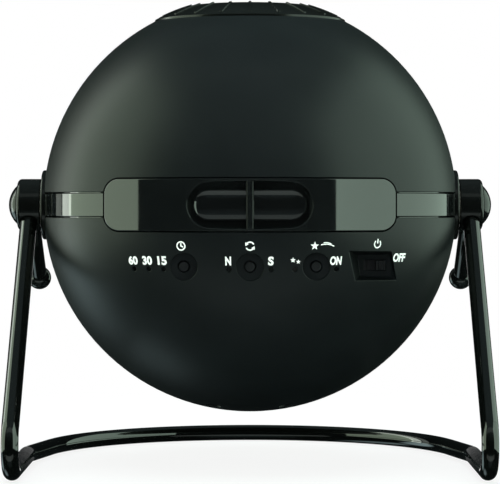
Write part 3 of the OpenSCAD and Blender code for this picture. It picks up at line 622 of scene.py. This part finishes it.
@dataclass
class Ball:
    """The two half-shells and the gloss band between them. Sizes are in millimetres."""

    shell_edge: float = 0.22
    band_edge: float = 0.2

    def build(self) -> None:
        """Make the shells and the band, each with rounded edges and a true round face."""
        for node, edge, upright in (
            ("upper_shell", self.shell_edge, False),
            ("lower_shell", self.shell_edge, False),
            ("equator_band", self.band_edge, True),
        ):
            piece = rounded(one_skin(node), edge)
            true_round(piece, upright=upright)
            finished(piece, f"{node}_moulding", NODE_FINISH[node], "ball", node)


@dataclass
class DrawerPlate:
    """The gloss plate on the disc drawer, with its finger scoop and the grip bar across it.

    Sizes are in millimetres and angles in degrees. The scoop's floor is a shallow trough: it mirrors
    the two light bars as the two long lines that the photograph shows.
    """

    edge: float = 0.28
    scoop_width: float = 40.5
    scoop_height: float = 15.5
    scoop_depth: float = 10.3
    trough_radius: float = 9.8
    trough_reach: float = 28.0
    corner_radius: float = 1.6
    wall_lean: float = 16.4
    cutter_front: float = 4.0
    arc_steps: int = 8
    turned_steps: int = 64
    grip_width: float = 2.15
    grip_sink: float = 0.3
    grip_root: float = 0.3
    grip_lap: float = 0.2

    def scoop_profile(self) -> list[tuple[float, float]]:
        """Half of the scoop's section: distance from its middle line, and depth below the ball's front.

        Returns:
            The points from the trough's middle, round the corner and up the leaning wall.
        """
        start = math.radians(self.trough_reach)
        end = math.radians(90 - self.wall_lean)
        centre = self.scoop_depth - self.trough_radius
        points = []
        for step in range(self.arc_steps + 1):
            angle = start * step / self.arc_steps
            points.append((self.trough_radius * math.sin(angle),
                           centre + self.trough_radius * math.cos(angle)))
        inset = self.trough_radius - self.corner_radius
        corner = (inset * math.sin(start), centre + inset * math.cos(start))
        for step in range(1, self.arc_steps + 1):
            angle = start + (end - start) * step / self.arc_steps
            points.append((corner[0] + self.corner_radius * math.sin(angle),
                           corner[1] + self.corner_radius * math.cos(angle)))
        across, depth = points[-1]
        mouth = across + (depth + self.cutter_front) * math.tan(math.radians(self.wall_lean))
        return points + [(mouth, -self.cutter_front), (0.0, -self.cutter_front)]

    def scoop(self) -> bpy.types.Object:
        """Make the scoop's cutter: a turned cup, pulled apart in the middle.

        Returns:
            The cutter, at its place in the ball.
        """
        lean = math.tan(math.radians(self.wall_lean))
        profile = self.scoop_profile()
        mouth = profile[-2][0] - self.cutter_front * lean
        half = self.scoop_width / 2
        sink = BALL_RADIUS - math.sqrt(BALL_RADIUS**2 - half**2)
        apart = half - mouth + sink * lean
        cutter = lathed("scoop", [(r, depth - BALL_RADIUS) for r, depth in profile], self.turned_steps)
        with editing(cutter) as mesh:
            bpy.ops.transform.rotate(value=math.pi / self.turned_steps, orient_axis="Y",
                                     center_override=(0, 0, 0))
            for side in (-1, 1):
                select_points(mesh, lambda point: side * point.co.x > 0.01 * MM)
                bpy.ops.transform.translate(value=(side * apart * MM, 0, 0))
        cutter.location = PIVOT
        return cutter

    def grip(self) -> bpy.types.Object:
        """Make the bar that stands across the middle of the scoop.

        Returns:
            The bar, with its foot in the scoop's floor.
        """
        front = -BALL_RADIUS + self.grip_sink
        back = -BALL_RADIUS + self.scoop_depth + self.grip_root
        bar = new_piece(bpy.ops.mesh.primitive_cube_add, size=1)
        bar.location = PIVOT + Vector((0, (front + back) / 2 * MM, 0))
        bar.scale = Vector((self.grip_width, back - front, self.scoop_height + 2 * self.grip_lap)) * MM
        bpy.ops.object.transform_apply(location=True, scale=True)
        return bar

    def build(self) -> None:
        """Make the plate, cut its scoop and set the grip bar in it."""
        plate = one_skin("tray_front")
        combine(plate, self.scoop(), Combining.CUT)
        combine(plate, self.grip(), Combining.ADD)
        rounded(plate, self.edge)
        true_round(plate, upright=True)
        finished(plate, "drawer_plate", GLOSS_ABS, "disc_tray", "tray_front")


@dataclass
class TiltJoint:
    """What holds the ball in its stand at each end of the tilt axis. Sizes are in millimetres."""

    hub_edge: float = 0.45
    boss_edge: float = 0.35
    screw_edge: float = 0.3

    def build(self) -> None:
        """Make the hub, the boss and the coin-slot screw on both sides."""
        for side in Side:
            for part, edge, body in (
                ("hub", self.hub_edge, "stand"),
                ("boss", self.boss_edge, "ball"),
                ("pivot_screw", self.screw_edge, "ball"),
            ):
                node = f"{part}_{side.value}"
                piece = rounded(one_skin(node), edge)
                finished(piece, f"{node}_moulding", NODE_FINISH[node], body, node)


@dataclass
class LensRing:
    """The ribbed focusing ring on the crown and the lens tube inside it. Sizes are in millimetres."""

    dome_radius: float = 72.2
    ring_edge: float = 0.14
    tube_edge: float = 0.4

    def build(self) -> None:
        """Make the ring and the tube."""
        ring = rounded(one_skin("focus_ring"), self.ring_edge)
        true_round(ring, self.dome_radius)
        finished(ring, "focus_ring_moulding", RING_ABS, "focus_ring_body", "focus_ring")
        tube = rounded(one_skin("lens_barrel"), self.tube_edge)
        finished(tube, "lens_tube_moulding", RING_ABS, "lens_tube", "lens_barrel")


@dataclass
class Controls:
    """The three push buttons, the sliding knob and the power socket. Sizes are in millimetres."""

    button_edge: float = 0.3
    knob_edge: float = 0.1
    knob_edge_steps: int = 2
    socket_edge: float = 0.25

    def build(self) -> None:
        """Make the keys, the knob and the socket."""
        for key in ("timer", "motion", "meteor"):
            piece = rounded(one_skin(f"{key}_button"), self.button_edge)
            finished(piece, f"{key}_button_moulding", BUTTON_ABS, f"{key}_key", f"{key}_button")
        knob = rounded(one_skin("power_knob"), self.knob_edge, self.knob_edge_steps)
        finished(knob, "power_knob_moulding", BUTTON_ABS, "power_slider", "power_knob")
        socket = rounded(one_skin("dc_jack"), self.socket_edge)
        finished(socket, "dc_jack_moulding", SWITCH_RESIN, "ball", "dc_jack")


# How wide each printed word is and where its middle lies across, in millimetres
WORDS = {
    "60": (3.6, -38.0),
    "30": (3.6, -33.3),
    "15": (3.3, -28.4),
    "N": (1.9, -7.0),
    "S": (1.8, 6.7),
    "ON": (4.1, 27.7),
    "OFF": (5.8, 49.0),
}


@dataclass
class Marks:
    """The white marks printed on the lower shell, laid on the ball beside their controls.

    Sizes and places are in millimetres and angles in degrees, and star_waist is a share of a star's
    radius. Names that end in _across or _up say where a mark's own middle lies, from the ball's
    middle. The numbers inside the signs are the corners and arcs of each drawing, from its own middle.
    """

    proud: float = 0.02
    ink: float = 0.03
    stroke: float = 0.42
    letter_swell: float = 0.042
    letter_height: float = 2.95
    heading_up: float = -13.2
    legend_up: float = -18.0
    timer_across: float = -22.2
    meteor_across: float = 21.0
    stars_across: float = 14.6
    power_across: float = 41.5
    power_up: float = -12.7
    off_up: float = -17.3
    clock_radius: float = 1.34
    turning_radius: float = 1.3
    switch_radius: float = 1.25
    arc_facet: float = 9.0
    bar_corner: float = 0.12
    head_radius: float = 0.75
    head_corner: float = 0.08
    star_waist: float = 0.42
    letter_steps: int = 4

    def word(self, text: str, up: float) -> bpy.types.Object:
        """Write a plain number or word in a bold narrow hand.

        Args:
            text: One of the words in WORDS.
            up: Where its middle goes, up from the ball's middle.

        Returns:
            The letters, laid on the ball.
        """
        width, across = WORDS[text]
        letters = new_piece(bpy.ops.object.text_add)
        letters.data.body = text
        letters.data.offset = self.letter_swell
        letters.data.extrude = 0.5
        letters.data.resolution_u = self.letter_steps
        bpy.ops.object.convert(target="MESH")
        with editing(letters):
            bpy.ops.mesh.remove_doubles(threshold=0.001)
        points = letters.data.vertices
        for axis, size in enumerate((width, self.letter_height, self.ink)):
            low = min(point.co[axis] for point in points)
            high = max(point.co[axis] for point in points)
            for point in points:
                point.co[axis] = ((point.co[axis] - low) / (high - low) - 0.5) * size
        return self.lay(letters, across, up)

    def flat(self, piece: bpy.types.Object) -> bpy.types.Object:
        """Give a flat stroke the ink's thickness.

        Args:
            piece: The stroke, at its place in the sign.

        Returns:
            The same stroke, closed and with its faces outwards.
        """
        pick(piece)
        bpy.ops.object.transform_apply(location=True, rotation=True, scale=True)
        modify(piece, "SOLIDIFY", thickness=self.ink, offset=0.0)
        with editing(piece):
            bpy.ops.mesh.normals_make_consistent(inside=False)
        return piece

    def arc(self, radius: float, start: float, sweep: float, width: float = 0.0) -> bpy.types.Object:
        """Draw a curved stroke round the middle: a short edge, spun.

        Args:
            radius: Radius of the stroke's middle.
            start: Where it starts, in degrees from across to the right.
            sweep: How far it goes round, in degrees.
            width: Its width, or 0 for the usual one.

        Returns:
            The stroke.
        """
        piece = new_piece(bpy.ops.mesh.primitive_plane_add, size=width or self.stroke,
                          location=(radius, 0, 0))
        bpy.ops.object.transform_apply(location=True)
        with editing(piece):
            bpy.ops.transform.resize(value=(1, 0, 1), center_override=(radius, 0, 0))
            bpy.ops.mesh.remove_doubles(threshold=0.001)
            bpy.ops.mesh.select_all(action="SELECT")
            bpy.ops.mesh.spin(steps=max(4, round(sweep / self.arc_facet)), angle=-math.radians(sweep),
                              center=(0, 0, 0), axis=(0, 0, 1))
            bpy.ops.mesh.select_all(action="SELECT")
            bpy.ops.mesh.remove_doubles(threshold=0.001)
        piece.rotation_euler = (0, 0, math.radians(start))
        return self.flat(piece)

    def bar(self, start: tuple[float, float], end: tuple[float, float]) -> bpy.types.Object:
        """Draw a straight stroke between two points.

        Args:
            start: One end, across and up.
            end: The other end.

        Returns:
            The stroke, with its corners rounded.
        """
        run = Vector(end) - Vector(start)
        middle = (Vector(end) + Vector(start)) / 2
        piece = new_piece(bpy.ops.mesh.primitive_plane_add, size=1, location=(middle.x, middle.y, 0))
        piece.scale = (run.length + self.stroke, self.stroke, 1)
        piece.rotation_euler = (0, 0, math.atan2(run.y, run.x))
        with editing(piece):
            bpy.ops.mesh.bevel(offset=self.bar_corner, offset_pct=0, segments=2, affect="VERTICES")
        return self.flat(piece)

    def star(self, across: float, up: float, radius: float) -> bpy.types.Object:
        """Draw a plain five-pointed star: a ten-cornered disc with every other corner drawn in.

        Args:
            across: Where its middle goes in the sign, across.
            up: Where its middle goes in the sign, up.
            radius: Distance from its middle to a point.

        Returns:
            The star.
        """
        piece = new_piece(bpy.ops.mesh.primitive_circle_add, vertices=10, radius=radius, fill_type="NGON")
        with editing(piece) as mesh:
            select_points(mesh, lambda corner: corner.index % 2 == 1)
            bpy.ops.transform.resize(value=(self.star_waist, self.star_waist, 1), center_override=(0, 0, 0))
        piece.location = (across, up, 0)
        return self.flat(piece)

    def head(self, across: float, up: float, turn: float) -> bpy.types.Object:
        """Draw an arrow's head.

        Args:
            across: Where its middle goes in the sign, across.
            up: Where its middle goes in the sign, up.
            turn: Direction that it points in, in degrees.

        Returns:
            The head, with its corners rounded.
        """
        piece = new_piece(bpy.ops.mesh.primitive_circle_add, vertices=3, radius=self.head_radius,
                          fill_type="NGON")
        with editing(piece):
            bpy.ops.mesh.bevel(offset=self.head_corner, segments=2, affect="VERTICES")
        piece.location = (across, up, 0)
        piece.rotation_euler = (0, 0, math.radians(turn - 90))
        return self.flat(piece)

    def clock(self) -> bpy.types.Object:
        """Draw a clock: a ring and two hands."""
        hands = [self.bar((0, 0), (0, 0.75)), self.bar((0, 0), (0.55, -0.25))]
        return join([self.arc(self.clock_radius, 0, 360)] + hands)

    def turning(self) -> bpy.types.Object:
        """Draw two arrows that chase each other round.

        Returns:
            The sign.
        """
        strokes = []
        for start in (25, 205):
            tip = math.radians(start + 125)
            strokes.append(self.arc(self.turning_radius, start, 118))
            strokes.append(self.head(self.turning_radius * math.cos(tip),
                                     self.turning_radius * math.sin(tip), start + 215))
        return join(strokes)

    def switch(self) -> bpy.types.Object:
        """Draw an open ring with a bar in its gap."""
        return join([self.arc(self.switch_radius, 130, 280), self.bar((0, 0.35), (0, 1.45))])

    def pair(self) -> bpy.types.Object:
        """Draw two small stars, one a little lower."""
        return join([self.star(-0.85, 0.25, 0.95), self.star(0.95, -0.3, 0.8)])

    def trail(self) -> bpy.types.Object:
        """Draw a star with two thin tails that bend down behind it.

        Returns:
            The sign.
        """
        long_tail = self.arc(6.2, 62, 44, 0.34)
        short_tail = self.arc(4.2, 62, 38, 0.3)
        for tail, across, up in ((long_tail, 3.6, -5.6), (short_tail, 3.5, -3.1)):
            for point in tail.data.vertices:
                point.co += Vector((across, up, 0))
        return join([self.star(-0.2, 0, 1.5), long_tail, short_tail])

    def lay(self, piece: bpy.types.Object, across: float, up: float) -> bpy.types.Object:
        """Lay a flat mark on the ball, with its upright strokes along the meridians.

        Args:
            piece: The mark, flat about its own middle, in millimetres.
            across: Where its middle goes, across from the ball's middle.
            up: Where its middle goes, up from the ball's middle.

        Returns:
            The same piece, in metres, on the ball.
        """
        rise = math.asin(up / BALL_RADIUS)
        girth = BALL_RADIUS * math.cos(rise)
        turn = math.asin(across / girth)
        for point in piece.data.vertices:
            away = (BALL_RADIUS + self.proud + point.co.z) * MM
            point.co = PIVOT + away * direction(turn + point.co.x / girth, rise + point.co.y / BALL_RADIUS)
        return piece

    def build(self) -> None:
        """Print the marks of each control."""
        heading, legend = self.heading_up, self.legend_up
        groups = {
            "timer_marks": [
                self.lay(self.clock(), self.timer_across, heading),
                self.word("60", legend),
                self.word("30", legend),
                self.word("15", legend),
            ],
            "motion_marks": [
                self.lay(self.turning(), 0.0, heading),
                self.word("N", legend),
                self.word("S", legend),
            ],
            "meteor_marks": [
                self.lay(self.trail(), self.meteor_across, heading),
                self.lay(self.pair(), self.stars_across, legend),
                self.word("ON", legend),
            ],
            "power_marks": [
                self.lay(self.switch(), self.power_across, self.power_up),
                self.word("OFF", self.off_up),
            ],
        }
        for name, strokes in groups.items():
            piece = join(strokes)
            smooth(piece)
            finished(piece, name, WHITE_INK, "ball")


# ---------------------------------------------------------------- studio


@dataclass(frozen=True)
class Softbox:
    """A rectangular lamp that faces the ball. Lengths are in metres and angles in degrees.

    Attributes:
        name: The lamp's name.
        azimuth: Direction from the ball, 0 towards the camera and 90 to the right.
        elevation: How far that direction points up.
        distance: Distance from the ball's middle to its face.
        span: How far it reaches to its left and right of that direction.
        rise: How far it reaches down and up from that direction.
        radiance: Brightness of its face, 1 being white.
        colour: The light's sRGB colour.
        far_share: Share of that brightness that is left at its right edge.
        in_gloss: Whether polished surfaces mirror it.
    """

    name: str
    azimuth: float
    elevation: float
    distance: float
    span: tuple[float, float]
    rise: tuple[float, float]
    radiance: float
    colour: str
    far_share: float = 1.0
    in_gloss: bool = True

    def face(self) -> bpy.types.AreaLight:
        """Make the lamp's face. An area lamp's watts are its radiance times pi times its area.

        Returns:
            The light, dimmed towards its right edge where it asks for that.
        """
        data = bpy.data.lights.new(self.name, "AREA")
        data.shape = "RECTANGLE"
        data.size = self.span[1] - self.span[0]
        data.size_y = self.rise[1] - self.rise[0]
        data.energy = self.radiance * math.pi * data.size * data.size_y
        data.color = linear(self.colour)[:3]
        if self.far_share != 1.0:
            data.use_nodes = True
            tree = data.node_tree
            tree.nodes.clear()
            place = add_node(tree, "NewGeometry").outputs["Parametric"]
            along = add_node(tree, "SeparateXYZ", {}, {"Vector": place})
            share = add_node(tree, "MapRange", {"To Min": 1.0, "To Max": self.far_share},
                             {"Value": along.outputs["X"]})
            glow = add_node(tree, "Emission", {}, {"Strength": share.outputs["Result"]})
            add_node(tree, "OutputLight", {}, {"Surface": glow.outputs["Emission"]})
        return data

    def place(self) -> None:
        """Hang the lamp and turn it to the ball."""
        lamp = bpy.data.objects.new(self.name, self.face())
        turn, lift = math.radians(self.azimuth), math.radians(self.elevation)
        out = direction(turn, lift)
        along = Vector((math.cos(turn), math.sin(turn), 0.0))
        middle = along * sum(self.span) / 2 + out.cross(along) * sum(self.rise) / 2
        lamp.location = PIVOT + out * self.distance + middle
        lamp.rotation_euler = (math.radians(90) - lift, 0.0, turn)
        lamp.visible_camera = False
        lamp.visible_glossy = self.in_gloss
        bpy.context.scene.collection.objects.link(lamp)


@dataclass(frozen=True)
class Card:
    """The glow of one reflector card in the room, placed like a softbox. Angles are in degrees.

    It is bright within the half-angle `full` round its middle, and has faded out at `end`.
    """

    azimuth: float
    elevation: float
    full: float
    end: float
    radiance: float

    def glow(self, tree: bpy.types.NodeTree, way: bpy.types.NodeSocket) -> bpy.types.NodeSocket:
        """Add the card to the room.

        Args:
            tree: The world's node tree.
            way: The direction that is looked in.

        Returns:
            The card's brightness in that direction.
        """
        middle = direction(math.radians(self.azimuth), math.radians(self.elevation))
        nearness = add_node(tree, "VectorMath", {"operation": "DOT_PRODUCT", 1: middle}, {0: way})
        glow = add_node(tree, "MapRange", {
            "interpolation_type": "SMOOTHSTEP", "From Min": math.cos(math.radians(self.end)),
            "From Max": math.cos(math.radians(self.full)), "To Max": self.radiance,
        }, {"Value": nearness.outputs["Value"]})
        return glow.outputs["Result"]


# How far the tall lamps reach down and up
TALL = (-0.28, 1.25)
SOFTBOXES = (
    # The broad lights at both sides, mirrored in the ends of the drawer plate and the band
    Softbox("softbox_right", 90, 0, 1.0, (-0.96, 1.08), TALL, radiance=2.0, colour="E2FFEB", far_share=0.6),
    Softbox("softbox_left", -90, 0, 1.0, (-0.47, 0.55), TALL, radiance=1.66, colour="E8FFE2"),
    # The narrow ones behind the left one, for the bright stripe on the band and the tubes
    Softbox("strip_left", -118, 0, 1.14, (-0.1, 0.1), TALL, radiance=3.3, colour="F4FFF2"),
    Softbox("strip_far_left", -128, 0, 1.14, (-0.075, 0.075), TALL, radiance=0.62, colour="F4FFF2"),
    # The two dim bars in front, which draw the long lines in the finger scoop
    Softbox("bar_high", 0, 44, 1.0, (-0.9, 0.9), (-0.14, 0.14), radiance=0.22, colour="F2FFF6"),
    Softbox("bar_low", 0, -44, 1.0, (-0.9, 0.9), (-0.14, 0.14), radiance=0.36, colour="F2FFF6"),
    # The light from above: a broad one for the satin shell and a thin one for the gloss edges
    Softbox("overhead", 0, 90, 1.0, (-0.5, 0.5), (-0.4, 0.4), radiance=6.2, colour="EEFFFF", in_gloss=False),
    Softbox("strip_top", 0, 90, 1.0, (-0.14, 0.14), (-0.014, 0.014), radiance=6.0, colour="F2FFF6"),
    # The light on the print
    Softbox("front_fill", 0, 8, 1.6, (-0.5, 0.5), (-0.5, 0.5), radiance=5.0, colour="FFFFFF", in_gloss=False),
)
CARDS = (
    # The ceiling
    Card(0, 82, full=8, end=75, radiance=0.125),
    # Two low cards on the left, for the soft patch low on the ball
    Card(-123, -20, full=5, end=18, radiance=1.35),
    Card(-129, -50, full=4, end=16, radiance=0.8),
    # The table in front
    Card(0, -52, full=6, end=30, radiance=0.1),
)
BACKDROP = Card(180, 0, full=6, end=8, radiance=1.0)


def total(tree: bpy.types.NodeTree, parts: Sequence[bpy.types.NodeSocket]) -> bpy.types.NodeSocket:
    """Add several values up in a node tree.

    Args:
        tree: The node tree.
        parts: The values.

    Returns:
        Their sum.
    """
    so_far = parts[0]
    for part in parts[1:]:
        so_far = add_node(tree, "Math", {"operation": "ADD"}, {0: so_far, 1: part}).outputs[0]
    return so_far


@dataclass
class Studio:
    """Camera, lamps, floor and surroundings. Lengths are in metres."""

    camera_distance: float = 0.855
    focal_length: float = 176.6
    shift_y: float = -0.0743
    near_clip: float = 0.05
    room_tint: str = "E0FEFF"
    room_level: float = 0.015
    floor_size: float = 6.0
    floor_drop: float = 0.0002
    paper_colour: str = "ECEEEC"
    fade_start: float = 0.10
    fade_end: float = 0.30
    near_share: float = 0.86

    def camera(self) -> None:
        """Put the camera level with the ball's middle, at the photograph's distance."""
        data = bpy.data.cameras.new("photo_camera")
        data.lens = self.focal_length
        data.sensor_width = SENSOR_WIDTH
        data.shift_y = self.shift_y
        data.clip_start = self.near_clip
        camera = bpy.data.objects.new("photo_camera", data)
        camera.location = PIVOT - Vector((0.0, self.camera_distance, 0.0))
        camera.rotation_euler = (math.radians(90), 0.0, 0.0)
        bpy.context.scene.collection.objects.link(camera)
        bpy.context.scene.camera = camera

    def world(self) -> None:
        """A dim room with its cards, and plain white behind the object.

        Polished pieces mirror the room, and white only from straight behind the object. Glass and the
        camera see plain white.
        """
        world = bpy.data.worlds.new("studio_room")
        bpy.context.scene.world = world
        world.use_nodes = True
        tree = world.node_tree
        tree.nodes.clear()
        way = add_node(tree, "TexCoord").outputs["Generated"]
        glow = total(tree, [card.glow(tree, way) for card in CARDS])
        lit = add_node(tree, "Math", {"operation": "ADD", 1: self.room_level}, {0: glow})
        room = add_node(tree, "Background", {"Color": linear(self.room_tint)}, {"Strength": lit.outputs[0]})
        white = add_node(tree, "Background", {"Color": (1, 1, 1, 1), "Strength": 1.0})
        rays = add_node(tree, "LightPath")
        mirrored = add_node(tree, "Math", {"operation": "MULTIPLY"}, {
            0: rays.outputs["Is Glossy Ray"], 1: BACKDROP.glow(tree, way),
        })
        seen = total(tree, [
            rays.outputs["Is Camera Ray"], rays.outputs["Is Transmission Ray"], mirrored.outputs[0],
        ])
        share = add_node(tree, "Clamp", {}, {"Value": seen})
        mix = add_node(tree, "MixShader", {}, {
            "Fac": share.outputs[0], 1: room.outputs[0], 2: white.outputs[0],
        })
        add_node(tree, "OutputWorld", {}, {"Surface": mix.outputs[0]})

    def paper(self) -> bpy.types.Material:
        """Make the floor's pale paper, which turns white to the camera away from the object.

        Returns:
            The material.
        """
        material = bpy.data.materials.new("pale_paper")
        material.use_nodes = True
        tree = material.node_tree
        tree.nodes.clear()
        place = add_node(tree, "TexCoord").outputs["Object"]
        away = add_node(tree, "VectorMath", {"operation": "LENGTH"}, {"Vector": place})
        fade = add_node(tree, "MapRange", {
            "From Min": self.fade_start, "From Max": self.fade_end, "To Min": self.near_share,
        }, {"Value": away.outputs["Value"]})
        rays = add_node(tree, "LightPath")
        share = add_node(tree, "Math", {"operation": "MULTIPLY"}, {
            0: fade.outputs["Result"], 1: rays.outputs["Is Camera Ray"],
        })
        paper = add_node(tree, "BsdfDiffuse", {"Color": linear(self.paper_colour)})
        white = add_node(tree, "Emission", {"Color": (1, 1, 1, 1), "Strength": 1.0})
        mix = add_node(tree, "MixShader", {}, {
            "Fac": share.outputs[0], 1: paper.outputs[0], 2: white.outputs[0],
        })
        add_node(tree, "OutputMaterial", {}, {"Surface": mix.outputs[0]})
        return material

    def floor(self) -> None:
        """Lay the floor, which takes the object's shadow but shows in none of its gloss."""
        plane = new_piece(bpy.ops.mesh.primitive_plane_add, size=self.floor_size,
                          location=(0, 0, -self.floor_drop))
        plane.name = "studio_floor"
        plane.data.materials.append(self.paper())
        plane.visible_glossy = False
        plane.visible_shadow = False

    def build(self) -> None:
        """Set up the whole studio."""
        bpy.context.scene.view_settings.view_transform = "Standard"
        self.camera()
        for softbox in SOFTBOXES:
            softbox.place()
        self.world()
        self.floor()


def main() -> None:
    logging.basicConfig(level=logging.INFO, format="%(message)s")
    dress_nodes()
    Ball().build()
    DrawerPlate().build()
    TiltJoint().build()
    LensRing().build()
    Controls().build()
    Marks().build()
    Studio().build()


if __name__ == "__main__":
    main()
